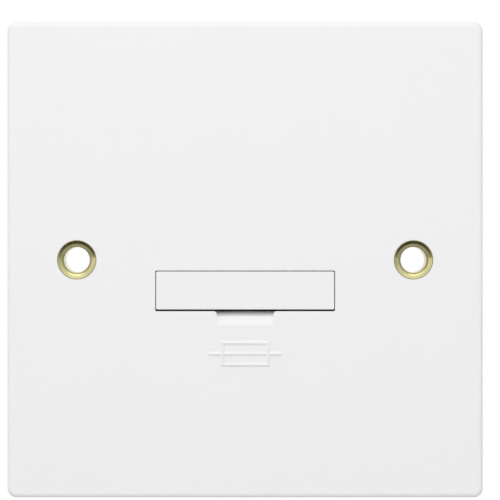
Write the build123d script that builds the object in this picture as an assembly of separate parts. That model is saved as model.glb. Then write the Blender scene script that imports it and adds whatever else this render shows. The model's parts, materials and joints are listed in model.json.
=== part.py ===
"""A single-gang fused connection unit for a flush wall box.

Everything is drawn looking at the plate: x to the right, y up, z out of the wall towards the
viewer, with the wall's surface at z = 0 and the plate's centre at x = y = 0. The last step turns
the pieces upright, so that the plate faces -Y and +Z is up.
"""

import os

from build123d import *

# Driving sizes, in millimetres.
# Front plate
plate_size = 85.2
plate_depth = 9.0
plate_corner_r = 1.6
plate_edge_r = 0.85
face_t = 3.0
skirt_t = 2.4
skirt_inner_r = 1.0
web_t = 1.2
web_h = 4.0

# Wall fixings: dished brass bushes, swaged over the earth strap
fixing_spacing = 60.3
fixing_bore_d = 4.6
fixing_boss_d = 11.0
bush_d = 7.0
dish_rim_t = 0.12
dish_depth = 0.5
dish_draft = 0.6
swage_d = 8.6
swage_t = 0.4

# Cartridge fuse, 1 inch by 1/4 inch
fuse_l = 25.4
fuse_d = 6.3
cap_l = 5.6
cap_t = 0.3
barrel_bore_d = 3.6
element_d = 0.35

# Fuse carrier, a drawer that pulls straight out of the plate
carrier_drop = 5.5
carrier_face_t = 1.8
carrier_rim = 0.25
carrier_corner_r = 0.2
carrier_edge = 0.1
leg_t = 3.05
bar_t = 2.0
barb_l = 2.0
barb_h = 0.6
barb_inset = 0.6
fuse_show = 1.25
cheek_t = 1.4
cheek_h = 2.0

# Prising notch under the carrier
notch_w = 10.1
notch_h = 2.45
notch_ramp_depth = 0.4
notch_throat_h = 0.9
notch_throat_depth = 2.6
notch_corner_r = 0.6

# Spring clips and strips
strip_t = 0.5
clip_w = 4.4
clip_bend_r = 0.9
lip_h = 0.8
lip_flare = 0.6
tail_bend_r = 3.0
link_w = 5.0

# Earth strap
strap_t = 0.8
strap_w = 3.8
strap_ring_d = 10.6
tongue_w = 15.0

# Terminals
block_w = 8.0
wire_bore_d = 4.2
wire_cover = 1.4
thread_l = 2.9
earth_pitch = 8.0
earth_wall = 1.7
block_chamfer = 0.4
tenon_w = 2.4
tenon_head_w = 3.4
tenon_head_t = 0.5
terminal_screw_d = 3.9
terminal_screw_out = 3.0

# Rear housing
housing_wall = 2.0
housing_side_room = 4.1
housing_corner_r = 2.0
housing_edge = 0.8
guide_t = 1.2
pocket_t = 1.2
pad_t = 2.4
entry_w = 5.0
post_w = 7.0
post_l = 5.0
locator_t = 1.2
locator_l = 16.0
locator_h = 2.0

# Housing screws
housing_screw_d = 2.9
housing_head_d = 5.6
housing_head_h = 1.6
housing_screw_grip = 3.8

# Named clearances
press_gap = 0.03
carrier_gap = 0.14
prise_gap = 0.32
saddle_gap = 0.15
fuse_end_gap = 0.2
snap = 0.1
clip_gap = 0.12
bar_gap = 0.42
clip_floor_gap = 1.2
lip_gap = 0.7
stop_gap = 0.1
guide_gap = 0.25
guide_end_gap = 0.5
strap_gap = 1.85
strap_slot_gap = 0.5
strap_floor_gap = 0.1
post_hole_gap = 1.0
post_row_gap = 0.3
link_gap = 1.0
pocket_gap = 0.3
pocket_drop = 0.5
tenon_gap = 0.05
thread_gap = 0.05
screw_tip_gap = 0.3
screw_end_gap = 0.5
access_gap = 0.9
head_gap = 0.3
head_sink = 0.2
locator_gap = 0.15

# Depths that follow
back_z = plate_depth - face_t
saddle_r = fuse_d / 2 + saddle_gap
fuse_z = plate_depth - carrier_face_t - saddle_r
window_half = fuse_d / 2 - snap
bar_rear_z = fuse_z - saddle_r - bar_t
travel = plate_depth - (fuse_z - fuse_d / 2) + fuse_show
catch_z = back_z - cheek_h - stop_gap - travel
leg_end_z = catch_z - barb_l
strip_front_z = bar_rear_z - clip_floor_gap
block_front_z = strip_front_z - strip_t
wire_z = block_front_z - wire_cover - wire_bore_d / 2
block_rear_z = wire_z - wire_bore_d / 2 - thread_l
floor_z = block_rear_z - pad_t
rear_z = floor_z - housing_wall
strap_rear_z = swage_t
strap_front_z = strap_rear_z + strap_t
post_z = back_z - post_l
screw_tip_z = post_z + housing_screw_grip
head_z = rear_z + head_sink
head_seat_z = head_z + housing_head_h
pocket_z = block_front_z - pocket_drop

# Rows, from the carrier outwards
carrier_y = -carrier_drop
carrier_h = fuse_d + 2 * carrier_rim
carrier_top = carrier_y + carrier_h / 2
carrier_bottom = carrier_y - carrier_h / 2
aperture_top = carrier_top + carrier_gap
aperture_bottom = carrier_bottom - prise_gap
strap_low = carrier_top + guide_gap + guide_t + strap_gap
strap_high = strap_low + strap_w
upper_post_y = strap_high + post_w / 2 + post_hole_gap + post_row_gap
top_row_y = upper_post_y + post_w / 2 + pocket_gap + block_w / 2
lower_post_y = carrier_bottom - guide_gap - guide_t - post_w / 2
bottom_row_y = lower_post_y - post_w / 2 - link_gap - link_w / 2
inner_top = top_row_y + block_w / 2 + pocket_gap
inner_bottom = bottom_row_y - block_w / 2 - pocket_gap

# Columns, from the centre outwards
fixing_x = fixing_spacing / 2
clip_x = fuse_l / 2 - cap_l / 2
window_w = fuse_l + 2 * fuse_end_gap
carrier_w = window_w + 2 * leg_t
aperture_w = carrier_w + 2 * carrier_gap
inner_side = carrier_w / 2 + housing_side_room
side_x = inner_side - pocket_gap - block_w / 2
earth_w = earth_pitch + wire_bore_d + 2 * earth_wall
earth_x = earth_pitch / 2

SIDES = (-1, 1)
POST_ROWS = (upper_post_y, lower_post_y)
SIDE_BLOCKS = [(side * side_x, y) for side in SIDES for y in (top_row_y, bottom_row_y)]
EARTH_COLUMNS = [side * earth_x for side in SIDES]
SCREW_PLACES = SIDE_BLOCKS + [(x, top_row_y) for x in EARTH_COLUMNS]


def prism(outline, z0, z1):
    """A flat outline raised between two depths."""
    return extrude(Pos(0, 0, z0) * outline, z1 - z0)


def rod(diameter, start, end):
    """A round bar between two points."""
    run = Vector(*end) - Vector(*start)
    low_end = (Align.CENTER, Align.CENTER, Align.MIN)
    return Plane(start, z_dir=run) * Cylinder(diameter / 2, run.length, align=low_end)


def span(x0, x1, y0, y1):
    """A rectangle between two corners."""
    return Pos((x0 + x1) / 2, (y0 + y1) / 2) * Rectangle(x1 - x0, y1 - y0)


def turned(profile):
    """A profile drawn with radius across and depth up, turned about the z axis."""
    return revolve(Plane.XZ * profile, Axis.Z)


def pillar(y, z0, z1):
    """One square screw pillar on the centre line."""
    return prism(Pos(0, y) * Rectangle(post_w, post_w), z0, z1)


def front_plate():
    """The moulded plate: a shallow tray with bosses, posts and stops on its back."""
    outline = RectangleRounded(plate_size, plate_size, plate_corner_r)
    tray = prism(outline, 0, plate_depth)
    tray = fillet(tray.faces().sort_by(Axis.Z)[-1].edges(), plate_edge_r)
    inside = plate_size - 2 * skirt_t
    tray -= prism(RectangleRounded(inside, inside, skirt_inner_r), 0, back_z)
    for side in SIDES:
        boss_x = side * fixing_x
        web = span(*sorted((boss_x, side * inside / 2)), -web_t / 2, web_t / 2)
        tray += prism(Pos(boss_x, 0) * Circle(fixing_boss_d / 2), strap_front_z, back_z)
        tray += prism(web, back_z - web_h, back_z)
        tray += prism(cheek_outline(side), back_z - cheek_h, back_z)
        tray -= rod(bush_d + 2 * press_gap, (boss_x, 0, 0), (boss_x, 0, plate_depth))
    for y in POST_ROWS:
        tray += pillar(y, post_z, back_z)
        tray -= rod(housing_screw_d + 2 * thread_gap, (0, y, post_z), (0, y, screw_tip_z + screw_end_gap))
    for y, inward in ((inner_top, -1), (inner_bottom, 1)):
        near = y + inward * locator_gap
        edges = sorted((near, near + inward * locator_t))
        tray += prism(span(-locator_l / 2, locator_l / 2, *edges), back_z - locator_h, back_z)
    return cut_notch(cut_aperture(tray))


def cheek_outline(side):
    """One stop beside the aperture, which the carrier's barb comes up against."""
    near = side * aperture_w / 2
    return span(*sorted((near, near + side * cheek_t)), carrier_bottom, carrier_top)


def cut_aperture(tray):
    """Opens the plate for the carrier and eases the opening's front edge."""
    height = aperture_top - aperture_bottom
    middle = (aperture_top + aperture_bottom) / 2
    outline = Pos(0, middle) * RectangleRounded(aperture_w, height, carrier_corner_r)
    tray -= prism(outline, back_z - cheek_h, plate_depth)
    front = tray.faces().filter_by(Axis.Z).sort_by(Axis.Z)[-1]
    rim = [wire for wire in front.inner_wires() if wire.bounding_box().size.X > aperture_w / 2]
    return chamfer(rim[0].edges(), carrier_edge)


def cut_notch(tray):
    """Cuts the ramp and throat that let a blade in under the carrier, with rounded corners."""
    reach = aperture_bottom + prise_gap
    throat = aperture_bottom - notch_throat_h
    foot = aperture_bottom - notch_h
    floor = plate_depth - notch_throat_depth
    slope = make_face(Polyline((reach, floor), (aperture_bottom, floor),
                               (throat, plate_depth - notch_ramp_depth), (foot, plate_depth),
                               (reach, plate_depth), close=True))
    flare = span(-notch_w / 2 - notch_corner_r, notch_w / 2 + notch_corner_r,
                 aperture_bottom - notch_corner_r, reach)
    for side in SIDES:
        flare -= Pos(side * (notch_w / 2 + notch_corner_r), aperture_bottom - notch_corner_r) \
            * Circle(notch_corner_r)
    plan = span(-notch_w / 2, notch_w / 2, foot, reach) + flare
    ramp = extrude(Plane.YZ * slope, notch_w / 2 + notch_corner_r, both=True)
    return tray - (ramp & prism(plan, floor, plate_depth))


def fixing_eyelet(side):
    """One dished brass bush, flush with the face, with its rear end rolled over the strap."""
    rim_r = bush_d / 2
    bore_r = fixing_bore_d / 2
    mouth_r = rim_r - dish_rim_t
    dish_z = plate_depth - dish_depth
    profile = Polyline((bore_r, 0), (swage_d / 2, 0), (swage_d / 2, swage_t), (rim_r, swage_t),
                       (rim_r, plate_depth), (mouth_r, plate_depth), (mouth_r - dish_draft, dish_z),
                       (bore_r, dish_z), close=True)
    return Pos(side * fixing_x, 0, 0) * turned(make_face(profile))


def earth_strap():
    """The strip that earths both fixing screws, with a tongue to the earth terminal."""
    outline = span(-fixing_x, fixing_x, strap_low, strap_high)
    outline += span(-tongue_w / 2, tongue_w / 2, strap_low, top_row_y + block_w / 2)
    outline = fillet(outline.vertices().group_by(Axis.Y)[-1], block_chamfer)
    for side in SIDES:
        outline += Pos(side * fixing_x, 0) * Circle(strap_ring_d / 2)
    for side in SIDES:
        outline -= Pos(side * fixing_x, 0) * Circle(bush_d / 2 + press_gap)
        outline -= tenon_hole(side * earth_x, top_row_y)
    post_hole = post_w + 2 * post_hole_gap
    outline -= Pos(0, upper_post_y) * Rectangle(post_hole, post_hole)
    return prism(outline, strap_rear_z, strap_front_z)


def tenon(x, y, seat_z, thickness):
    """A square tenon with a staked head, which holds a strip of that thickness on a block."""
    shank = Pos(x, y) * Rectangle(tenon_w, tenon_w)
    head = Pos(x, y) * Rectangle(tenon_head_w, tenon_head_w)
    head_z = seat_z + thickness
    return prism(shank, seat_z, head_z) + prism(head, head_z, head_z + tenon_head_t)


def tenon_hole(x, y):
    """The hole in a strip for a block's tenon."""
    return Pos(x, y) * Rectangle(tenon_w + 2 * tenon_gap, tenon_w + 2 * tenon_gap)


def terminal_block(outline, front_z, columns, y, strip):
    """A brass block with a wire bore, a screw hole and a tenon in each column."""
    block = prism(outline, block_rear_z, front_z)
    block = chamfer(block.edges().filter_by(Axis.Z), block_chamfer)
    for x in columns:
        low, high = y - block_w / 2, y + block_w / 2
        block -= rod(wire_bore_d, (x, low, wire_z), (x, high, wire_z))
        block -= rod(terminal_screw_d + 2 * thread_gap, (x, y, block_rear_z), (x, y, wire_z))
        block += tenon(x, y, front_z, strip)
    return block


def side_terminal(side, y):
    """One live or neutral terminal."""
    x = side * side_x
    outline = Pos(x, y) * Rectangle(block_w, block_w)
    return terminal_block(outline, block_front_z, [x], y, strip_t)


def earth_terminal():
    """The double earth terminal, which reaches forward to the strap's tongue."""
    outline = Pos(0, top_row_y) * Rectangle(earth_w, block_w)
    return terminal_block(outline, strap_rear_z, EARTH_COLUMNS, top_row_y, strap_t)


def fuse_clip(side):
    """A sprung clip round one fuse cap, with a tail to the live terminal on its side."""
    finger = fuse_d / 2 + clip_gap + strip_t / 2
    lip_z = back_z - lip_gap
    base_z = (strip_front_z + block_front_z) / 2
    half = [(finger + lip_flare, lip_z), (finger, lip_z - lip_h), (finger, base_z)]
    bend = FilletPolyline(*half, *[(-y, z) for y, z in reversed(half)], radius=clip_bend_r)
    clip = extrude(Plane.YZ * trace(bend, strip_t), clip_w / 2, both=True)
    clip = Pos(side * clip_x, carrier_y, 0) * clip
    near = Vector(side * clip_x, strap_high)
    far = Vector(side * side_x, top_row_y - block_w / 2)
    route = FilletPolyline((near.X, carrier_y), near, far, (far.X, top_row_y + clip_w / 2), radius=tail_bend_r)
    tail = trace(route, clip_w) - tenon_hole(far.X, top_row_y)
    return clip + prism(tail, block_front_z, strip_front_z)


def neutral_link():
    """The strip that joins the two neutral terminals."""
    outline = SlotCenterToCenter(2 * side_x, link_w)
    for side in SIDES:
        outline -= tenon_hole(side * side_x, 0)
    return prism(Pos(0, bottom_row_y) * outline, block_front_z, strip_front_z)


def terminal_screws():
    """The six headless clamping screws, backed out clear of their wire bores."""
    end_z = block_rear_z - terminal_screw_out
    tip_z = wire_z - wire_bore_d / 2 - screw_tip_gap
    return Part() + [rod(terminal_screw_d, (x, y, end_z), (x, y, tip_z)) for x, y in SCREW_PLACES]


def housing_screws():
    """The two pan-head screws that hold the housing to the plate's posts."""
    screws = Part()
    for y in POST_ROWS:
        screws += rod(housing_head_d, (0, y, head_z), (0, y, head_seat_z))
        screws += rod(housing_screw_d, (0, y, head_seat_z), (0, y, screw_tip_z))
    return screws


def rear_housing():
    """The moulded box behind the plate, with guides, pockets, posts, slots and holes."""
    room = span(-inner_side, inner_side, inner_bottom, inner_top)
    outline = offset(room, housing_wall, kind=Kind.INTERSECTION)
    outline = fillet(outline.vertices(), housing_corner_r)
    box = prism(outline, rear_z, back_z)
    box = chamfer(box.faces().sort_by(Axis.Z)[0].edges(), housing_edge)
    box -= prism(room, floor_z, back_z)
    box += carrier_guides() + pockets()
    for y in POST_ROWS:
        box += pillar(y, floor_z, post_z)
    return box - housing_holes()


def carrier_guides():
    """Ribs above and below each carrier leg, and a post that stops it at its home place."""
    guides = Part()
    half = carrier_h / 2 + guide_gap
    inner = window_w / 2 + guide_end_gap
    for side in SIDES:
        reach = sorted((side * inner, side * inner_side))
        for y0, y1 in ((half, half + guide_t), (-half - guide_t, -half)):
            guides += prism(span(*reach, carrier_y + y0, carrier_y + y1), floor_z, back_z - guide_end_gap)
        stop = sorted((side * inner, side * carrier_w / 2))
        guides += prism(span(*stop, carrier_y - half, carrier_y + half), floor_z, leg_end_z - stop_gap)
    return guides


def pockets():
    """A walled pocket and a raised seat for each terminal block."""
    walls = Part()
    for x, y, width in [(x, y, block_w) for x, y in SIDE_BLOCKS] + [(0, top_row_y, earth_w)]:
        inside = Pos(x, y) * Rectangle(width + 2 * pocket_gap, block_w + 2 * pocket_gap)
        walls += prism(offset(inside, pocket_t, kind=Kind.INTERSECTION), floor_z, pocket_z)
        walls -= prism(inside, block_rear_z, pocket_z)
    return walls


def housing_holes():
    """Wire entries, screwdriver windows, strap slots and the housing screws' ways through."""
    holes = Part()
    for x, y in SCREW_PLACES:
        outer = inner_top + housing_wall if y > carrier_y else inner_bottom - housing_wall
        holes += Pos(x, (y + outer) / 2, wire_z) * Box(entry_w, abs(outer - y), entry_w)
        window = terminal_screw_d + 2 * access_gap
        holes += prism(Pos(x, y) * Rectangle(window, window), rear_z, block_rear_z)
    for y in POST_ROWS:
        holes += rod(housing_screw_d + 2 * head_gap, (0, y, rear_z), (0, y, post_z))
        holes += rod(housing_head_d + 2 * head_gap, (0, y, rear_z), (0, y, head_seat_z))
    slot = span(-inner_side - housing_wall, inner_side + housing_wall,
                strap_low - strap_slot_gap, strap_high + strap_slot_gap)
    slot -= span(-inner_side, inner_side, strap_low - strap_slot_gap, strap_high + strap_slot_gap)
    return holes + prism(slot, strap_rear_z - strap_floor_gap, back_z)


def fuse_carrier():
    """The drawer: a flush face, two barbed legs and a cross bar that cradle the fuse."""
    outline = Pos(0, carrier_y) * RectangleRounded(carrier_w, carrier_h, carrier_corner_r)
    drawer = prism(outline, leg_end_z, plate_depth)
    drawer = chamfer(drawer.faces().sort_by(Axis.Z)[-1].edges(), carrier_edge)
    window = Pos(0, carrier_y) * Rectangle(window_w, carrier_h)
    bar = Pos(0, carrier_y) * Rectangle(window_w, fuse_d + 2 * clip_gap - 2 * bar_gap)
    drawer -= prism(window, leg_end_z, fuse_z + window_half)
    drawer += prism(bar, bar_rear_z, fuse_z - window_half)
    drawer -= rod(2 * saddle_r, (-window_w / 2, carrier_y, fuse_z), (window_w / 2, carrier_y, fuse_z))
    barb = make_face(Polyline((carrier_w / 2, catch_z), (carrier_w / 2 + barb_h, catch_z),
                              (carrier_w / 2, leg_end_z), close=True))
    barb = extrude(Plane.XZ * barb, carrier_h / 2 - barb_inset, both=True)
    for hook in (barb, mirror(barb, Plane.YZ)):
        drawer += Pos(0, carrier_y, 0) * hook
    return drawer


def on_fuse_axis(diameter, x0, x1):
    """A round bar along the fuse's axis."""
    return rod(diameter, (x0, carrier_y, fuse_z), (x1, carrier_y, fuse_z))


def fuse_barrel():
    """The ceramic tube, which fits inside both caps."""
    end = fuse_l / 2 - cap_t
    return on_fuse_axis(fuse_d - 2 * cap_t - 2 * press_gap, -end, end) - on_fuse_axis(barrel_bore_d, -end, end)


def fuse_cap(side):
    """One plated end cap, closed at its outer end."""
    end = side * fuse_l / 2
    edges = sorted((end, end - side * cap_l))
    cap = on_fuse_axis(fuse_d, *edges)
    return cap - on_fuse_axis(fuse_d - 2 * cap_t, *sorted((end - side * cap_t, end - side * cap_l)))


def fuse_element():
    """The wire inside the barrel, from cap to cap."""
    end = fuse_l / 2 - cap_t
    return on_fuse_axis(element_d, -end, end)


PIECES = {
    "front_plate": front_plate(),
    "rear_housing": rear_housing(),
    "fixing_eyelet_left": fixing_eyelet(-1),
    "fixing_eyelet_right": fixing_eyelet(1),
    "earth_strap": earth_strap(),
    "earth_terminal": earth_terminal(),
    "supply_live_terminal": side_terminal(-1, top_row_y),
    "load_live_terminal": side_terminal(1, top_row_y),
    "supply_neutral_terminal": side_terminal(-1, bottom_row_y),
    "load_neutral_terminal": side_terminal(1, bottom_row_y),
    "neutral_link": neutral_link(),
    "supply_fuse_clip": fuse_clip(-1),
    "load_fuse_clip": fuse_clip(1),
    "terminal_screws": terminal_screws(),
    "housing_screws": housing_screws(),
    "fuse_carrier": fuse_carrier(),
    "fuse_barrel": fuse_barrel(),
    "fuse_cap_supply": fuse_cap(-1),
    "fuse_cap_load": fuse_cap(1),
    "fuse_element": fuse_element(),
}

os.makedirs("parts", exist_ok=True)
for name, shape in PIECES.items():
    export_step(Rot(90, 0, 0) * shape, f"parts/{name}.step")
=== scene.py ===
"""The looks of a fused connection unit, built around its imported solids.

The file is laid out as an add-on: each operator makes or finishes one piece or one group of
like pieces, and the last one sets the stage. Lengths are metres in the frame of the solids, in
which the plate faces -Y, +Z is up and the wall's surface is the plane y = 0.
"""

import json
import math

import bmesh
import bpy
from bpy.props import FloatProperty, FloatVectorProperty, IntProperty, PointerProperty
from bpy.types import Operator, Panel, PropertyGroup
from mathutils import Matrix, Vector


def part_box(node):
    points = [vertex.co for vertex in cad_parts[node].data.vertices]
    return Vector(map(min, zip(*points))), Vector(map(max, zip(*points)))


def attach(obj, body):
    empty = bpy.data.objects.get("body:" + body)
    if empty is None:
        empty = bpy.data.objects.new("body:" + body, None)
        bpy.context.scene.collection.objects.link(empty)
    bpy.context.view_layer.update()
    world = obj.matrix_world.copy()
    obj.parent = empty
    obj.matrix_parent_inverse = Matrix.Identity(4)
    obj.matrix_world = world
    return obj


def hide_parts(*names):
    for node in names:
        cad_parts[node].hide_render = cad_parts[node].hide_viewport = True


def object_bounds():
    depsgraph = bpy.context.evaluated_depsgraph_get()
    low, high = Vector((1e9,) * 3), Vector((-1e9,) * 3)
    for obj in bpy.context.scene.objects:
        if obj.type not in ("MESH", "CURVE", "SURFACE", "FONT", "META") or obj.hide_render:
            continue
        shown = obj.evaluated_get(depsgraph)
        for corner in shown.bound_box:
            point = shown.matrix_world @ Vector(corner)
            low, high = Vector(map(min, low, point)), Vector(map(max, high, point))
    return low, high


bl_info = {
    "name": "Fused connection unit",
    "version": (1, 0, 0),
    "blender": (4, 5, 0),
    "location": "3D View > Sidebar > Fused unit",
    "description": "Makes the visible pieces, finishes and stage of a fused connection unit",
    "category": "Object",
}

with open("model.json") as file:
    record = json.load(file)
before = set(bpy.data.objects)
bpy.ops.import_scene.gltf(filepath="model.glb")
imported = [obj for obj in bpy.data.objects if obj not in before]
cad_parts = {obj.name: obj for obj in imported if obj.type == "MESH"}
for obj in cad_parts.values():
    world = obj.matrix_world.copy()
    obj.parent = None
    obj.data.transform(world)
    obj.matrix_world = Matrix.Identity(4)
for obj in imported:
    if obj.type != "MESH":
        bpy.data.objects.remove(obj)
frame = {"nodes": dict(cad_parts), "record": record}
NODES = frame["nodes"]
MOUNTS = {mount["name"]: mount for mount in frame["record"]["mounts"]}
WIRE_MOUNTS = [mount for name, mount in MOUNTS.items() if name.endswith("_wire")]
CAD_BOX = [list(corner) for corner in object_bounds()]
FRONT_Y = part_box("front_plate")[0].y

MM = 0.001

# Edges that turn by more than a crease stay sharp
CREASE = math.radians(35)
SIGN_CREASE = math.radians(30)
SCREW_CREASE = math.radians(28)

# How finely round shapes are made, and what counts as one point in a turned mesh
ARC_STEPS = 8
SCREW_SEGMENTS = 32
FINE_THREAD_STEPS = 64
COARSE_THREAD_STEPS = 150
FLOOR_SEGMENTS = 128
MERGE_DISTANCE = 1e-7
SLIVER_LENGTH = 1e-8


# Settings

def length(name, description, default):
    """A length that a user may change, in metres."""
    return FloatProperty(name=name, description=description, default=default,
                         unit="LENGTH", precision=5, min=0.0)


def coordinate(name, description, default):
    """A place along one axis that a user may change, in metres."""
    return FloatProperty(name=name, description=description, default=default,
                         unit="LENGTH", precision=5)


def spot(name, description, default):
    """A place in the frame of the solids that a user may change, in metres."""
    return FloatVectorProperty(name=name, description=description, default=default,
                               subtype="TRANSLATION", size=3)


def share(name, description, default):
    """A number from 0 to 1 that a user may change."""
    return FloatProperty(name=name, description=description, default=default,
                         subtype="FACTOR", min=0.0, max=1.0)


def tint(name, description, default):
    """A colour that a user may change."""
    return FloatVectorProperty(name=name, description=description, default=default,
                               subtype="COLOR", size=3, min=0.0, max=1.0)


def power(name, description, default):
    """The power of a lamp that a user may change, in watts."""
    return FloatProperty(name=name, description=description, default=default,
                         unit="POWER", min=0.0)


class FinishSettings(PropertyGroup):
    """Colours of the finishes, and gloss of the mouldings."""

    white: tint("White moulding", "Colour of the plate, the carrier and the sign",
                (0.86, 0.858, 0.863))
    white_roughness: share("White roughness", "Roughness of the white mouldings", 0.36)
    black: tint("Black moulding", "Colour of the rear housing", (0.03, 0.03, 0.031))
    black_roughness: share("Black roughness", "Roughness of the rear housing", 0.52)
    eyelet: tint("Eyelet brass", "Colour of the fixing eyelets", (0.77, 0.71, 0.36))
    strip: tint("Strip brass", "Colour of the strap and the link", (0.74, 0.62, 0.33))
    block: tint("Block brass", "Colour of the terminal blocks and their screws", (0.76, 0.63, 0.32))
    bronze: tint("Spring bronze", "Colour of the fuse clips", (0.7, 0.5, 0.3))
    zinc: tint("Zinc plating", "Colour of the housing screws", (0.66, 0.67, 0.69))
    nickel: tint("Nickel plating", "Colour of the fuse caps and the fuse's wire", (0.74, 0.73, 0.7))
    ceramic: tint("Ceramic", "Colour of the fuse barrel", (0.8, 0.77, 0.7))


class EyeletSettings(PropertyGroup):
    """Sizes of the dished brass eyelets."""

    rim_radius: length("Rim radius", "Outer radius of the eyelet at the face", 3.5 * MM)
    rim_width: length("Rim width", "Width of the rim around the dish", 0.12 * MM)
    rim_round: share("Rim rounding", "Rounding of the rim's edges, in widths of the rim", 0.4)
    dish_depth: length("Dish depth", "Depth of the dish below the face", 0.5 * MM)
    dish_draft: length("Dish draft", "How much narrower the dish is at its floor", 0.6 * MM)
    bowl_radius: length("Bowl radius", "Rounding between the dish's wall and floor", 0.9 * MM)
    lip_radius: length("Lip radius", "Rounding of both ends of the bore", 0.15 * MM)
    flange_height: length("Flange height", "Thickness of the flange rolled over the strap", 0.4 * MM)
    flange_round: share("Flange rounding", "Rounding of the flange's edges, in thicknesses of it", 0.45)
    segments: IntProperty(name="Segments", description="Steps around each eyelet",
                          default=96, min=24)


class SignSettings(PropertyGroup):
    """Sizes of the raised fuse sign."""

    drop: length("Drop", "Distance of the sign below the plate's centre", 16.85 * MM)
    box_width: length("Box width", "Width of the box, between line centres", 8.2 * MM)
    box_height: length("Box height", "Height of the box, between line centres", 3.88 * MM)
    line_length: length("Line length", "Length of the line through the box", 13.05 * MM)
    line_width: length("Line width", "Width of a raised line at the face", 0.85 * MM)
    crest_width: length("Crest width", "Width of a raised line's flat crest", 0.12 * MM)
    relief: length("Relief", "Height of the lines above the face", 0.28 * MM)
    sink: length("Sink", "Depth of the lines' roots below the face", 0.05 * MM)


class ScrewSettings(PropertyGroup):
    """Sizes of the screws' threads and drives."""

    pitch: length("Pitch", "Thread pitch of the terminal screws", 0.7 * MM)
    thread_depth: length("Thread depth", "Depth of the terminal screws' thread", 0.36 * MM)
    point: length("Point", "Chamfer at the ends of a terminal screw", 0.35 * MM)
    slot_width: length("Slot width", "Width of a terminal screw's slot", 0.8 * MM)
    slot_depth: length("Slot depth", "Depth of a terminal screw's slot", 1.1 * MM)
    terminal_seed: IntProperty(name="Terminal seed",
                               description="Fixes how the terminal screws are turned", default=7)
    head_height: length("Head height", "Height of a housing screw's head", 1.6 * MM)
    head_round: length("Head rounding", "Rounding of a housing screw's head", 0.75 * MM)
    head_edge: length("Head edge", "Rounding at the seat of a housing screw's head", 0.1 * MM)
    shank_radius: length("Shank radius", "Radius of a housing screw's shank", 1.45 * MM)
    coarse_pitch: length("Coarse pitch", "Thread pitch of the housing screws", 1.1 * MM)
    coarse_depth: length("Coarse depth", "Depth of the housing screws' thread", 0.4 * MM)
    cross_width: length("Cross width", "Width of each wing of the cross recess", 0.75 * MM)
    cross_reach: length("Cross reach", "Length of the cross recess", 3.3 * MM)
    cross_taper: share("Cross taper", "Length of the recess at its bottom, as a share", 0.55)
    cross_depth: length("Cross depth", "Depth of the cross recess", 1.1 * MM)
    housing_seed: IntProperty(name="Housing seed",
                              description="Fixes how the housing screws are turned", default=11)


class StageSettings(PropertyGroup):
    """Camera, light, floor and card."""

    distance: length("Distance", "From the camera to the plate's face", 0.641)
    frame_width: length("Frame width", "Width that the picture covers at the face", 89.54 * MM)
    camera_x: coordinate("Camera across", "Camera's place along X", 0.87 * MM)
    camera_z: coordinate("Camera height", "Camera's place along Z", 1.75 * MM)
    room: share("Room", "Brightness of the room in front of the plate", 0.7)
    room_tilt: share("Room tilt", "How much brighter the room is at the left, and dimmer at the right",
                     0.22)
    room_front: share("Room at the camera", "Share of the room's brightness round the camera", 0.37)
    overhead: share("Overhead", "Brightness above the plate, on dull surfaces", 0.88)
    backdrop: share("Backdrop", "Brightness behind the plate, on dull surfaces", 0.7)
    high_place: spot("High lamp's place", "Where the lamp above hangs", (-0.02, -0.53, 0.38))
    high_size: length("High lamp's size", "Side of the square lamp above", 0.4)
    high_power: power("High lamp's power", "Power of the lamp above", 0.42)
    front_place: spot("Front lamp's place", "Where the lamp in front hangs", (-0.01, -0.37, 0.15))
    front_size: length("Front lamp's size", "Side of the square lamp in front", 0.3)
    front_power: power("Front lamp's power", "Power of the lamp in front", 0.478)
    floor_drop: length("Floor drop", "Distance of the floor below the plate", 60 * MM)
    floor_radius: length("Floor radius", "Radius of the floor", 0.8)
    floor_tint: share("Floor", "How much light the floor gives back", 0.72)
    card_drop: length("Card drop", "Distance of the dark card below the plate", 30 * MM)
    card_reach: length("Card reach", "How far the dark card goes to the front and the sides", 0.6)
    card_back: length("Card back", "How far the dark card goes behind the wall's surface", 20 * MM)
    card_dark: share("Card", "How pale the dark card is under the plate", 0.02)
    card_edge: share("Card edge", "How pale the dark card is at its front and sides", 0.35)


# Node helpers

def add_node(tree, kind, inputs=None, **settings):
    """A node of that kind. Inputs, by name or number, are linked to sockets or given values."""
    node = tree.nodes.new(kind)
    for key, value in settings.items():
        setattr(node, key, value)
    for key, value in (inputs or {}).items():
        if isinstance(value, bpy.types.NodeSocket):
            tree.links.new(value, node.inputs[key])
        else:
            node.inputs[key].default_value = value
    return node


def reckon(tree, operation, *values):
    """The result of one step of arithmetic on sockets and numbers."""
    inputs = dict(enumerate(values))
    return add_node(tree, "ShaderNodeMath", inputs, operation=operation).outputs[0]


def scaled(tree, colour, factor):
    """A colour times a factor."""
    return add_node(tree, "ShaderNodeVectorMath", {0: colour, "Scale": factor},
                    operation="SCALE").outputs[0]


def ramp(tree, value, start, end, low=0.0, high=1.0, shape="LINEAR"):
    """A value that goes from low to high while another goes from start to end."""
    return add_node(tree, "ShaderNodeMapRange",
                    {"Value": value, "From Min": start, "From Max": end,
                     "To Min": low, "To Max": high}, interpolation_type=shape).outputs[0]


def noise(tree, place, scale, detail):
    """A pattern of values about one half."""
    return add_node(tree, "ShaderNodeTexNoise",
                    {"Vector": place, "Scale": scale, "Detail": detail}).outputs["Fac"]


def new_tree(name, kind, inputs, outputs):
    """An empty node group with those sockets, and its input and output nodes."""
    tree = bpy.data.node_groups.new(name, kind)
    for way, sockets in (("INPUT", inputs), ("OUTPUT", outputs)):
        for socket_name, socket_kind in sockets.items():
            tree.interface.new_socket(socket_name, in_out=way, socket_type=socket_kind)
    return tree, tree.nodes.new("NodeGroupInput").outputs, tree.nodes.new("NodeGroupOutput").inputs


# Surface groups, shared by the finishes. Scales are in patches to the metre

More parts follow.
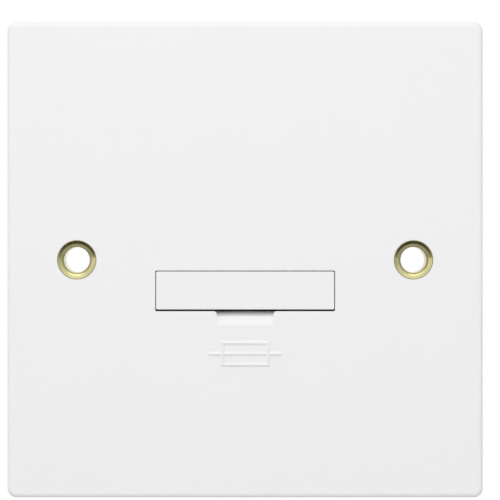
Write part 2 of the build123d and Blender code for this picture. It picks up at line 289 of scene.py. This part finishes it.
SKIN_OUTPUTS = {"Colour": "NodeSocketColor", "Roughness": "NodeSocketFloat",
                "Height": "NodeSocketFloat"}
NOISE_MIDDLE = 0.5
NOISE_SPAN = (0.3, 0.7)
MOTTLE_SCALE = 70.0
MOTTLE_DETAIL = 3.0
PEEL_DETAIL = 2.0
PEEL_ROUGHNESS = (-0.04, 0.04)
STREAK_DETAIL = 4.0
STREAK_ROUGHNESS = (-0.06, 0.08)
PATCH_SCALE = 260.0
PATCH_DETAIL = 4.0
PATCH_SPAN = (0.42, 0.72)
PATCH_ROUGHNESS = 0.5


def moulding_skin():
    """Moulded surface: a faint mottle in the colour and a fine peel in gloss and height."""
    if "Moulding skin" in bpy.data.node_groups:
        return bpy.data.node_groups["Moulding skin"]
    tree, given, result = new_tree(
        "Moulding skin", "ShaderNodeTree",
        {"Colour": "NodeSocketColor", "Mottle": "NodeSocketFloat",
         "Roughness": "NodeSocketFloat", "Peel scale": "NodeSocketFloat"}, SKIN_OUTPUTS)
    place = add_node(tree, "ShaderNodeTexCoord").outputs["Object"]
    mottle = noise(tree, place, MOTTLE_SCALE, MOTTLE_DETAIL)
    swing = reckon(tree, "SUBTRACT", mottle, NOISE_MIDDLE)
    shade = reckon(tree, "MULTIPLY_ADD", swing, given["Mottle"], 1.0)
    peel = noise(tree, place, given["Peel scale"], PEEL_DETAIL)
    uneven = ramp(tree, peel, *NOISE_SPAN, *PEEL_ROUGHNESS)
    tree.links.new(scaled(tree, given["Colour"], shade), result["Colour"])
    tree.links.new(reckon(tree, "ADD", given["Roughness"], uneven), result["Roughness"])
    tree.links.new(peel, result["Height"])
    return tree


def metal_skin():
    """Worked metal: streaks along the grain, with patches that are duller and darker."""
    if "Metal skin" in bpy.data.node_groups:
        return bpy.data.node_groups["Metal skin"]
    tree, given, result = new_tree(
        "Metal skin", "ShaderNodeTree",
        {"Colour": "NodeSocketColor", "Dullness": "NodeSocketFloat",
         "Roughness": "NodeSocketFloat", "Grain": "NodeSocketVector"}, SKIN_OUTPUTS)
    place = add_node(tree, "ShaderNodeTexCoord").outputs["Object"]
    along = add_node(tree, "ShaderNodeVectorMath", {0: place, 1: given["Grain"]},
                     operation="MULTIPLY").outputs[0]
    streak = noise(tree, along, 1.0, STREAK_DETAIL)
    brushed = ramp(tree, streak, *NOISE_SPAN, *STREAK_ROUGHNESS)
    patch = noise(tree, place, PATCH_SCALE, PATCH_DETAIL)
    dull = ramp(tree, patch, *PATCH_SPAN, 0.0, given["Dullness"])
    bright = reckon(tree, "SUBTRACT", 1.0, dull)
    worn = reckon(tree, "MULTIPLY_ADD", dull, PATCH_ROUGHNESS, brushed)
    tree.links.new(scaled(tree, given["Colour"], bright), result["Colour"])
    tree.links.new(reckon(tree, "ADD", given["Roughness"], worn), result["Roughness"])
    tree.links.new(streak, result["Height"])
    return tree


# Finishes

def blank_material(name):
    """A new material and its empty node tree."""
    material = bpy.data.materials.new(name)
    material.use_nodes = True
    material.node_tree.nodes.clear()
    return material, material.node_tree


def finish(name, skin, skin_inputs, bump, **shader):
    """A material: a skin group and a bump into one shader, whose plain values are given."""
    material, tree = blank_material(name)
    group = add_node(tree, "ShaderNodeGroup", node_tree=skin)
    for key, value in skin_inputs.items():
        group.inputs[key].default_value = value
    relief = add_node(tree, "ShaderNodeBump",
                      {"Height": group.outputs["Height"], "Strength": 1.0, "Distance": bump})
    surface = add_node(tree, "ShaderNodeBsdfPrincipled",
                       {"Base Color": group.outputs["Colour"],
                        "Roughness": group.outputs["Roughness"],
                        "Normal": relief.outputs["Normal"], **shader})
    add_node(tree, "ShaderNodeOutputMaterial", {"Surface": surface.outputs["BSDF"]})
    return material


def moulding(name, colour, roughness, mottle, peel_scale, bump, ior):
    """A moulded finish."""
    return finish(name, moulding_skin(),
                  {"Colour": (*colour, 1.0), "Mottle": mottle, "Roughness": roughness,
                   "Peel scale": peel_scale}, bump, IOR=ior)


def white_moulding(piece):
    """The smooth white of the plate, the carrier and the sign, for one of them."""
    colours = bpy.context.scene.fused_unit_finish
    return moulding(f"White moulding {piece}", colours.white, colours.white_roughness,
                    mottle=0.012, peel_scale=2200.0, bump=2e-6, ior=1.5)


def metal(name, colour, roughness, dullness, grain, bump=2e-6):
    """A metal finish. The grain runs along the axis with the smallest number."""
    return finish(name, metal_skin(),
                  {"Colour": (*colour, 1.0), "Dullness": dullness, "Roughness": roughness,
                   "Grain": grain}, bump, Metallic=1.0)


def coat_nodes(material, *names):
    """Gives CAD nodes a material in place of their plain one."""
    for name in names:
        slots = NODES[name].data.materials
        slots.clear()
        slots.append(material)


# Mesh helpers

def rounded(corners):
    """The points of a closed outline with rounded corners, given as (radius, depth, rounding)."""
    points = []
    for i, (across, along, rounding) in enumerate(corners):
        here = Vector((across, along))
        if not rounding:
            points.append(here)
            continue
        back = (Vector(corners[i - 1][:2]) - here).normalized()
        ahead = (Vector(corners[(i + 1) % len(corners)][:2]) - here).normalized()
        half = back.angle(ahead) / 2
        centre = here + (back + ahead).normalized() * (rounding / math.sin(half))
        reach = rounding / math.tan(half)
        start = here + back * reach - centre
        end = here + ahead * reach - centre
        points += [centre + start.lerp(end, step / ARC_STEPS).normalized() * rounding
                   for step in range(ARC_STEPS + 1)]
    return points


def threaded(radius, start, end, cut, steps):
    """The points of an outline along a thread of that depth of cut."""
    return [(radius, start + (end - start) * i / steps, cut) for i in range(steps + 1)]


def turned(outline, segments, place=(0.0, 0.0), pitch=1.0):
    """A solid turned about a line along Y. Each point of the outline is (radius, depth) with a
    third number where a thread is cut: the depth of the cut."""
    shape = bmesh.new()
    rings = []
    for radius, depth, *cut in outline:
        ring = []
        for i in range(segments):
            turn = i / segments
            # The groove winds one pitch in a turn, and runs out half a pitch from its bottom
            groove = abs(2 * ((depth / pitch - turn) % 1) - 1) * cut[0] if cut else 0.0
            angle = math.tau * turn
            reach = max(radius - groove, 0.0)
            ring.append(shape.verts.new((place[0] + reach * math.cos(angle), depth,
                                         place[1] + reach * math.sin(angle))))
        rings.append(ring)
    for i, ring in enumerate(rings):
        before = rings[i - 1]
        if outline[i][0] == 0 and outline[i - 1][0] == 0:
            continue
        for j in range(segments):
            shape.faces.new((before[j - 1], before[j], ring[j], ring[j - 1]))
    bmesh.ops.remove_doubles(shape, verts=shape.verts, dist=MERGE_DISTANCE)
    bmesh.ops.dissolve_degenerate(shape, edges=shape.edges, dist=SLIVER_LENGTH)
    bmesh.ops.recalc_face_normals(shape, faces=shape.faces)
    return shape


def wedge(width, reach, depth, rear, taper=1.0):
    """A cutter that goes in from the rear. Its length at the bottom is a share of its reach."""
    shape = bmesh.new()
    bmesh.ops.create_cube(shape, size=1.0)
    for vertex in shape.verts:
        at_bottom = vertex.co.y < 0
        narrow = taper if at_bottom else 1.0
        vertex.co = (vertex.co.x * reach * narrow, rear - depth if at_bottom else rear + depth,
                     vertex.co.z * width)
    return shape


def link_mesh(name, mesh, crease):
    """Puts a mesh in the scene as an object at the origin, smooth but for its creases."""
    mesh.name = name
    mesh.shade_smooth()
    mesh.set_sharp_from_angle(angle=crease)
    made = bpy.data.objects.new(name, mesh)
    bpy.context.scene.collection.objects.link(made)
    return made


def to_object(name, shape):
    """A mesh object from a bmesh, which is used up."""
    mesh = bpy.data.meshes.new(name)
    shape.to_mesh(mesh)
    shape.free()
    return link_mesh(name, mesh, CREASE)


def evaluated_mesh(obj):
    """A plain mesh of an object with its modifiers applied."""
    graph = bpy.context.evaluated_depsgraph_get()
    return bpy.data.meshes.new_from_object(obj.evaluated_get(graph), depsgraph=graph)


def carve(blank, cutters):
    """The blank with the cutters taken out, as a new mesh. Blank and cutters are used up."""
    for cutter in cutters:
        cut = blank.modifiers.new("Cut", "BOOLEAN")
        cut.operation = "DIFFERENCE"
        cut.solver = "EXACT"
        cut.object = cutter
    mesh = evaluated_mesh(blank)
    for used in (blank, *cutters):
        bpy.data.objects.remove(used)
    return mesh


def run_tree(tree, points, values):
    """Runs a geometry tree on an object of loose points and returns the mesh that it makes."""
    mesh = bpy.data.meshes.new("Places")
    mesh.from_pydata(points, [], [])
    places = bpy.data.objects.new("Places", mesh)
    bpy.context.scene.collection.objects.link(places)
    modifier = places.modifiers.new("Make", "NODES")
    modifier.node_group = tree
    for socket in tree.interface.items_tree:
        if socket.in_out == "INPUT" and socket.name in values:
            modifier[socket.identifier] = values[socket.name]
    made = evaluated_mesh(places)
    places.modifiers.remove(modifier)
    bpy.data.objects.remove(places)
    if not made.polygons:
        raise RuntimeError(f"the tree {tree.name} made no faces")
    return made


def fit(piece, body, slot, *replaced):
    """Puts a finished piece on its body and hides the nodes that it stands for. The name of its finish
    is not used.
    """
    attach(piece, body)
    if replaced:
        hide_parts(*replaced)


# Geometry trees

def end_tree(tree, geometry, given, result):
    """Ends a geometry tree with real geometry in the given finish."""
    real = add_node(tree, "GeometryNodeRealizeInstances", {"Geometry": geometry})
    coated = add_node(tree, "GeometryNodeSetMaterial",
                      {"Geometry": real.outputs[0], "Material": given["Finish"]})
    tree.links.new(coated.outputs[0], result["Geometry"])


def sign_tree():
    """The raised sign: a box and a line through it, both with sloped flanks and a flat crest.

    At the box's corners the section stands across the mitre. There it is scaled up to keep the
    line's width, so its height is divided by the same amount.
    """
    tree, given, result = new_tree(
        "Raised sign", "GeometryNodeTree",
        {"Geometry": "NodeSocketGeometry", "Box Width": "NodeSocketFloat",
         "Box Height": "NodeSocketFloat", "Line Length": "NodeSocketFloat",
         "Crest Width": "NodeSocketFloat", "Root Width": "NodeSocketFloat",
         "Height": "NodeSocketFloat", "Place": "NodeSocketVector",
         "Finish": "NodeSocketMaterial"},
        {"Geometry": "NodeSocketGeometry"})
    box = add_node(tree, "GeometryNodeCurvePrimitiveQuadrilateral",
                   {"Width": given["Box Width"], "Height": given["Box Height"]})
    start, end = [
        add_node(tree, "ShaderNodeCombineXYZ",
                 {"X": reckon(tree, "MULTIPLY", given["Line Length"], half)}).outputs[0]
        for half in (-0.5, 0.5)]
    line = add_node(tree, "GeometryNodeCurvePrimitiveLine", {"Start": start, "End": end})
    joined = add_node(tree, "GeometryNodeMeshBoolean", operation="UNION", solver="EXACT")
    for curve, mitre in ((box, math.sqrt(2)), (line, 1.0)):
        section = add_node(tree, "GeometryNodeCurvePrimitiveQuadrilateral",
                           {"Height": reckon(tree, "DIVIDE", given["Height"], mitre),
                            "Bottom Width": given["Crest Width"],
                            "Top Width": given["Root Width"], "Offset": 0.0}, mode="TRAPEZOID")
        bead = add_node(tree, "GeometryNodeCurveToMesh",
                        {"Curve": curve.outputs[0], "Profile Curve": section.outputs[0],
                         "Scale": mitre, "Fill Caps": True})
        tree.links.new(bead.outputs[0], joined.inputs["Mesh 2"])
    upright = add_node(tree, "GeometryNodeTransform",
                       {"Geometry": joined.outputs[0], "Translation": given["Place"],
                        "Rotation": (math.pi / 2, 0.0, 0.0)})
    end_tree(tree, upright.outputs[0], given, result)
    return tree


def screw_tree():
    """Like screws on points, each turned about its own axis by a seeded amount."""
    if "Screws on points" in bpy.data.node_groups:
        return bpy.data.node_groups["Screws on points"]
    tree, given, result = new_tree(
        "Screws on points", "GeometryNodeTree",
        {"Geometry": "NodeSocketGeometry", "Screw": "NodeSocketObject",
         "Seed": "NodeSocketInt", "Finish": "NodeSocketMaterial"},
        {"Geometry": "NodeSocketGeometry"})
    screw = add_node(tree, "GeometryNodeObjectInfo", {"Object": given["Screw"], "As Instance": True})
    turn = add_node(tree, "FunctionNodeRandomValue", {2: 0.0, 3: math.pi, "Seed": given["Seed"]},
                    data_type="FLOAT")
    axis_turn = add_node(tree, "ShaderNodeCombineXYZ", {"Y": turn.outputs[1]})
    points = add_node(tree, "GeometryNodeMeshToPoints", {"Mesh": given["Geometry"]})
    placed = add_node(tree, "GeometryNodeInstanceOnPoints",
                      {"Points": points.outputs[0], "Instance": screw.outputs["Geometry"],
                       "Rotation": axis_turn.outputs[0]})
    end_tree(tree, placed.outputs[0], given, result)
    return tree


def set_screws(name, screw, places, seed, material):
    """One piece with a copy of the screw at each place. The screw is used up."""
    mesh = run_tree(screw_tree(), places, {"Screw": screw, "Seed": seed, "Finish": material})
    bpy.data.objects.remove(screw)
    return link_mesh(name, mesh, SCREW_CREASE)


# Operators

class FUSED_UNIT_OT_mould_front(Operator):
    """Finishes the plate and the carrier as smooth white mouldings"""

    bl_idname = "fused_unit.mould_front"
    bl_label = "Plate and carrier"

    def execute(self, context):
        for node in ("front_plate", "fuse_carrier"):
            coat_nodes(white_moulding(node), node)
        return {"FINISHED"}


class FUSED_UNIT_OT_mould_housing(Operator):
    """Finishes the rear housing as a fine matt black moulding"""

    bl_idname = "fused_unit.mould_housing"
    bl_label = "Rear housing"

    def execute(self, context):
        colours = context.scene.fused_unit_finish
        coat_nodes(moulding("Black moulding", colours.black, colours.black_roughness,
                            mottle=0.3, peel_scale=5200.0, bump=1.2e-5, ior=1.5), "rear_housing")
        return {"FINISHED"}


class FUSED_UNIT_OT_turn_eyelets(Operator):
    """Turns the two dished brass eyelets, with their rear ends rolled over the strap"""

    bl_idname = "fused_unit.turn_eyelets"
    bl_label = "Fixing eyelets"

    # Where the straight part of the bore starts from each end, in lip radii
    bore_start = 1.5

    def execute(self, context):
        sizes = context.scene.fused_unit_eyelets
        bore = MOUNTS["wall_screws"]["dims"]["hole_r_mm"] * MM
        brass = metal("Eyelet brass", context.scene.fused_unit_finish.eyelet,
                      roughness=0.2, dullness=0.12, grain=(900.0, 900.0, 900.0))
        for side in ("left", "right"):
            node = f"fixing_eyelet_{side}"
            low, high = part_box(node)
            middle = (low + high) / 2
            outline = self.outline(sizes, bore, (high.x - low.x) / 2, high.y)
            eyelet = to_object(f"eyelet_{side}",
                               turned(outline, sizes.segments, (middle.x, middle.z)))
            eyelet.data.materials.append(brass)
            fit(eyelet, "unit", "eyelet_brass", node)
        return {"FINISHED"}

    def outline(self, sizes, bore, flange, rear):
        """The eyelet's section, from the bore round its rear and the outside to the dish."""
        mouth = sizes.rim_radius - sizes.rim_width
        floor = FRONT_Y + sizes.dish_depth
        under = rear - sizes.flange_height
        rim_edge = sizes.rim_width * sizes.rim_round
        flange_edge = sizes.flange_height * sizes.flange_round
        straight = self.bore_start * sizes.lip_radius
        return rounded([
            (bore, floor + straight, 0.0),
            (bore, rear - straight, 0.0),
            (bore, rear, sizes.lip_radius),
            (flange, rear, flange_edge),
            (flange, under, flange_edge),
            (sizes.rim_radius, under, 0.0),
            (sizes.rim_radius, FRONT_Y, rim_edge),
            (mouth, FRONT_Y, rim_edge),
            (mouth - sizes.dish_draft, floor, sizes.bowl_radius),
            (bore, floor, sizes.lip_radius),
        ])


class FUSED_UNIT_OT_raise_sign(Operator):
    """Raises the fuse sign on the plate below the carrier"""

    bl_idname = "fused_unit.raise_sign"
    bl_label = "Raised sign"

    def execute(self, context):
        sizes = context.scene.fused_unit_sign
        flanks = sizes.line_width - sizes.crest_width
        mesh = run_tree(sign_tree(), [(0.0, 0.0, 0.0)], {
            "Box Width": sizes.box_width, "Box Height": sizes.box_height,
            "Line Length": sizes.line_length, "Crest Width": sizes.crest_width,
            "Root Width": sizes.line_width + flanks * sizes.sink / sizes.relief,
            "Height": sizes.relief + sizes.sink,
            "Place": (0.0, FRONT_Y + (sizes.sink - sizes.relief) / 2, -sizes.drop),
            "Finish": white_moulding("sign")})
        fit(link_mesh("fuse_sign", mesh, SIGN_CREASE), "unit", "white_moulding")
        return {"FINISHED"}


class FUSED_UNIT_OT_fit_terminal_screws(Operator):
    """Cuts one slotted clamping screw and sets six of them behind the wire holes"""

    bl_idname = "fused_unit.fit_terminal_screws"
    bl_label = "Terminal screws"

    def execute(self, context):
        sizes = context.scene.fused_unit_screws
        low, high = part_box("terminal_screws")
        places = [(mount["pos_m"][0], 0.0, mount["pos_m"][2]) for mount in WIRE_MOUNTS]
        radius = high.x - max(place[0] for place in places)
        point = sizes.point
        outline = [(0.0, low.y), (radius - point, low.y)]
        outline += threaded(radius, low.y + point, high.y - point, sizes.thread_depth,
                            FINE_THREAD_STEPS)
        outline += [(radius - point, high.y), (0.0, high.y)]
        blank = to_object("Terminal screw", turned(outline, SCREW_SEGMENTS, pitch=sizes.pitch))
        past_both_sides = 3 * radius
        slot = to_object("Slot", wedge(sizes.slot_width, past_both_sides, sizes.slot_depth, high.y))
        screw = link_mesh("Terminal screw", carve(blank, [slot]), SCREW_CREASE)
        brass = metal("Screw brass", context.scene.fused_unit_finish.block,
                      roughness=0.24, dullness=0.25, grain=(1500.0, 300.0, 1500.0))
        piece = set_screws("slotted_terminal_screws", screw, places, sizes.terminal_seed, brass)
        fit(piece, "unit", "screw_brass", "terminal_screws")
        return {"FINISHED"}


class FUSED_UNIT_OT_fit_housing_screws(Operator):
    """Makes one pan-head screw with a cross recess and sets two of them in the housing"""

    bl_idname = "fused_unit.fit_housing_screws"
    bl_label = "Housing screws"

    def execute(self, context):
        sizes = context.scene.fused_unit_screws
        low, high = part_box("housing_screws")
        head = (high.x - low.x) / 2
        seat = high.y - sizes.head_height
        places = [(0.0, 0.0, low.z + head), (0.0, 0.0, high.z - head)]
        shank = sizes.shank_radius
        outline = [(0.0, low.y), (shank - sizes.coarse_depth, low.y)]
        outline += threaded(shank, low.y + sizes.coarse_pitch, seat - sizes.coarse_pitch,
                            sizes.coarse_depth, COARSE_THREAD_STEPS)
        crown = rounded([(0.0, seat, 0.0), (head, seat, sizes.head_edge),
                         (head, high.y, sizes.head_round), (0.0, high.y, 0.0)])
        outline += [(shank, seat)] + [tuple(point) for point in crown[1:]]
        blank = to_object("Housing screw", turned(outline, SCREW_SEGMENTS, pitch=sizes.coarse_pitch))
        wings = []
        for turn in (0.0, math.pi / 2):
            shape = wedge(sizes.cross_width, sizes.cross_reach, sizes.cross_depth, high.y,
                          sizes.cross_taper)
            bmesh.ops.rotate(shape, verts=shape.verts, matrix=Matrix.Rotation(turn, 3, "Y"))
            wings.append(to_object("Wing", shape))
        screw = link_mesh("Housing screw", carve(blank, wings), SCREW_CREASE)
        zinc = metal("Zinc plating", context.scene.fused_unit_finish.zinc,
                     roughness=0.3, dullness=0.15, grain=(700.0, 700.0, 700.0))
        piece = set_screws("cross_head_screws", screw, places, sizes.housing_seed, zinc)
        fit(piece, "unit", "plated_steel", "housing_screws")
        return {"FINISHED"}


class FUSED_UNIT_OT_finish_metalwork(Operator):
    """Finishes the strap, the link, the terminal blocks and the fuse clips"""

    bl_idname = "fused_unit.finish_metalwork"
    bl_label = "Metalwork"

    def execute(self, context):
        colours = context.scene.fused_unit_finish
        coat_nodes(metal("Rolled brass", colours.strip,
                         roughness=0.3, dullness=0.3, grain=(120.0, 2400.0, 2400.0)),
                   "earth_strap", "neutral_link")
        coat_nodes(metal("Machined brass", colours.block,
                         roughness=0.26, dullness=0.22, grain=(2000.0, 2000.0, 160.0)),
                   "earth_terminal", "supply_live_terminal", "load_live_terminal",
                   "supply_neutral_terminal", "load_neutral_terminal")
        coat_nodes(metal("Spring bronze", colours.bronze,
                         roughness=0.3, dullness=0.25, grain=(2400.0, 2400.0, 140.0)),
                   "supply_fuse_clip", "load_fuse_clip")
        return {"FINISHED"}


class FUSED_UNIT_OT_finish_fuse(Operator):
    """Finishes the fuse's ceramic barrel, plated caps and wire"""

    bl_idname = "fused_unit.finish_fuse"
    bl_label = "Cartridge fuse"

    def execute(self, context):
        colours = context.scene.fused_unit_finish
        coat_nodes(moulding("Fuse ceramic", colours.ceramic, roughness=0.5,
                            mottle=0.12, peel_scale=3600.0, bump=6e-6, ior=1.6), "fuse_barrel")
        coat_nodes(metal("Nickel plating", colours.nickel,
                         roughness=0.22, dullness=0.12, grain=(160.0, 1800.0, 1800.0), bump=1e-6),
                   "fuse_cap_supply", "fuse_cap_load")
        coat_nodes(metal("Tinned wire", colours.nickel,
                         roughness=0.3, dullness=0.2, grain=(200.0, 3000.0, 3000.0), bump=1e-6),
                   "fuse_element")
        return {"FINISHED"}


class FUSED_UNIT_OT_set_stage(Operator):
    """Sets the camera, the soft light, the white surroundings, the floor and the dark card"""

    bl_idname = "fused_unit.set_stage"
    bl_label = "Stage"

    # Width of the camera's sensor, in millimetres
    sensor_width = 36.0

    # Ways out of the scene: the axis, and where along it the way starts and is fully reached
    ways = {
        "right": ("X", -0.8, 0.8),
        "back": ("Y", 0.0, 0.6),
        "up": ("Z", 0.0, 0.9),
        "front": ("Y", -0.8, -1.0),
    }

    # Where the dark card turns pale, to the front along Y and to each side along X
    card_front_fade = (-0.015, -0.1)
    card_side_fade = (0.05, 0.6)

    def execute(self, context):
        setup = context.scene.fused_unit_stage
        context.scene.view_settings.view_transform = "Standard"
        self.place_camera(context, setup)
        self.light_world(context, setup)
        self.hang_lamp(context, "High lamp", setup.high_place, setup.high_size, setup.high_power)
        front = self.hang_lamp(context, "Front lamp", setup.front_place, setup.front_size,
                               setup.front_power)
        front.visible_glossy = False
        self.lay_floor(setup)
        self.hold_card(setup)
        return {"FINISHED"}

    def place_camera(self, context, setup):
        """A camera square to the plate, framed as the picture is."""
        lens = bpy.data.cameras.new("Camera")
        lens.sensor_width = self.sensor_width
        lens.lens = self.sensor_width * setup.distance / setup.frame_width
        camera = bpy.data.objects.new("Camera", lens)
        camera.location = (setup.camera_x, FRONT_Y - setup.distance, setup.camera_z)
        camera.rotation_euler = (math.pi / 2, 0.0, 0.0)
        context.scene.collection.objects.link(camera)
        context.scene.camera = camera

    def light_world(self, context, setup):
        """A room with its own brightness round the camera, above and behind the plate.

        The camera sees plain white all round, and shiny surfaces see it above and behind.
        """
        world = bpy.data.worlds.new("Studio")
        world.use_nodes = True
        tree = world.node_tree
        tree.nodes.clear()
        direction = add_node(tree, "ShaderNodeTexCoord").outputs["Generated"]
        parts = add_node(tree, "ShaderNodeSeparateXYZ", {0: direction}).outputs
        towards = {way: ramp(tree, parts[axis], start, end, shape="SMOOTHSTEP")
                   for way, (axis, start, end) in self.ways.items()}
        level = ramp(tree, towards["right"], 0.0, 1.0, setup.room * (1 + setup.room_tilt),
                     setup.room * (1 - setup.room_tilt))
        for way, level_there in (("front", setup.room * setup.room_front),
                                 ("up", setup.overhead), ("back", setup.backdrop)):
            level = add_node(tree, "ShaderNodeMix",
                             {"Factor": towards[way], "A": level, "B": level_there}).outputs[0]
        path = add_node(tree, "ShaderNodeLightPath").outputs
        pale = reckon(tree, "MAXIMUM", towards["back"], towards["up"])
        shine = reckon(tree, "MULTIPLY", path["Is Glossy Ray"], pale)
        for white in (shine, path["Is Camera Ray"], path["Is Transmission Ray"]):
            level = reckon(tree, "MAXIMUM", level, white)
        background = add_node(tree, "ShaderNodeBackground", {"Color": level})
        add_node(tree, "ShaderNodeOutputWorld", {"Surface": background.outputs[0]})
        context.scene.world = world

    @staticmethod
    def hang_lamp(context, name, place, size, watts):
        """A square soft lamp that faces the plate's centre at the wall."""
        lamp = bpy.data.lights.new(name, "AREA")
        lamp.shape = "SQUARE"
        lamp.size = size
        lamp.energy = watts
        holder = bpy.data.objects.new(name, lamp)
        holder.location = place
        holder.rotation_euler = (-Vector(place)).to_track_quat("-Z", "Y").to_euler()
        context.scene.collection.objects.link(holder)
        return holder

    @staticmethod
    def paint(piece, material, level):
        """Makes a material dull with that level of grey, and gives it to a piece of the stage."""
        tree = material.node_tree
        surface = add_node(tree, "ShaderNodeBsdfDiffuse", {"Color": level})
        add_node(tree, "ShaderNodeOutputMaterial", {"Surface": surface.outputs[0]})
        piece.data.materials.append(material)

    def lay_floor(self, setup):
        """A pale round floor, white to the camera and to shiny metal, that keeps its shadow."""
        height = CAD_BOX[0][2] - setup.floor_drop
        shape = bmesh.new()
        bmesh.ops.create_circle(shape, cap_ends=True, segments=FLOOR_SEGMENTS,
                                radius=setup.floor_radius,
                                matrix=Matrix.Translation((0.0, 0.0, height)))
        floor = to_object("Floor", shape)
        material, tree = blank_material("Pale floor")
        path = add_node(tree, "ShaderNodeLightPath").outputs
        seen = reckon(tree, "MAXIMUM", path["Is Camera Ray"], path["Is Glossy Ray"])
        self.paint(floor, material, ramp(tree, seen, 0.0, 1.0, setup.floor_tint, 1.0))

    def hold_card(self, setup):
        """A dark card below the plate that only shows as a reflection in shiny surfaces."""
        height = CAD_BOX[0][2] - setup.card_drop
        reach = setup.card_reach
        corners = ((-reach, setup.card_back), (-reach, -reach), (reach, -reach),
                   (reach, setup.card_back))
        shape = bmesh.new()
        shape.faces.new([shape.verts.new((x, y, height)) for x, y in corners])
        card = to_object("Dark card", shape)
        material, tree = blank_material("Dark card")
        place = add_node(tree, "ShaderNodeTexCoord").outputs["Object"]
        parts = add_node(tree, "ShaderNodeSeparateXYZ", {0: place}).outputs
        aside = reckon(tree, "ABSOLUTE", parts["X"])
        pale_front, pale_side = [
            ramp(tree, way, *fade, setup.card_dark, setup.card_edge, shape="SMOOTHSTEP")
            for way, fade in ((parts["Y"], self.card_front_fade), (aside, self.card_side_fade))]
        self.paint(card, material, reckon(tree, "MAXIMUM", pale_front, pale_side))
        for ray in ("camera", "diffuse", "transmission", "volume_scatter", "shadow"):
            setattr(card, f"visible_{ray}", False)


SETTINGS = {
    "fused_unit_finish": FinishSettings,
    "fused_unit_eyelets": EyeletSettings,
    "fused_unit_sign": SignSettings,
    "fused_unit_screws": ScrewSettings,
    "fused_unit_stage": StageSettings,
}
OPERATORS = (
    FUSED_UNIT_OT_mould_front,
    FUSED_UNIT_OT_mould_housing,
    FUSED_UNIT_OT_turn_eyelets,
    FUSED_UNIT_OT_raise_sign,
    FUSED_UNIT_OT_fit_terminal_screws,
    FUSED_UNIT_OT_fit_housing_screws,
    FUSED_UNIT_OT_finish_metalwork,
    FUSED_UNIT_OT_finish_fuse,
    FUSED_UNIT_OT_set_stage,
)


class FUSED_UNIT_PT_pieces(Panel):
    """Lists the pieces and their sizes in the sidebar"""

    bl_idname = "FUSED_UNIT_PT_pieces"
    bl_label = "Fused unit"
    bl_space_type = "VIEW_3D"
    bl_region_type = "UI"
    bl_category = "Fused unit"

    def draw(self, context):
        for operator in OPERATORS:
            self.layout.operator(operator.bl_idname)
        for name, settings in SETTINGS.items():
            box = self.layout.box()
            for key in settings.__annotations__:
                box.prop(getattr(context.scene, name), key)


CLASSES = (*SETTINGS.values(), *OPERATORS, FUSED_UNIT_PT_pieces)


def register():
    """Registers the classes and hangs the settings on the scene."""
    for kind in CLASSES:
        bpy.utils.register_class(kind)
    for name, settings in SETTINGS.items():
        setattr(bpy.types.Scene, name, PointerProperty(type=settings))


def unregister():
    """Takes the settings and the classes away again."""
    for name in SETTINGS:
        delattr(bpy.types.Scene, name)
    for kind in reversed(CLASSES):
        bpy.utils.unregister_class(kind)


def main():
    """Builds everything in order."""
    register()
    bpy.ops.fused_unit.mould_front()
    bpy.ops.fused_unit.mould_housing()
    bpy.ops.fused_unit.turn_eyelets()
    bpy.ops.fused_unit.raise_sign()
    bpy.ops.fused_unit.fit_terminal_screws()
    bpy.ops.fused_unit.fit_housing_screws()
    bpy.ops.fused_unit.finish_metalwork()
    bpy.ops.fused_unit.finish_fuse()
    bpy.ops.fused_unit.set_stage()


if __name__ == "__main__":
    main()
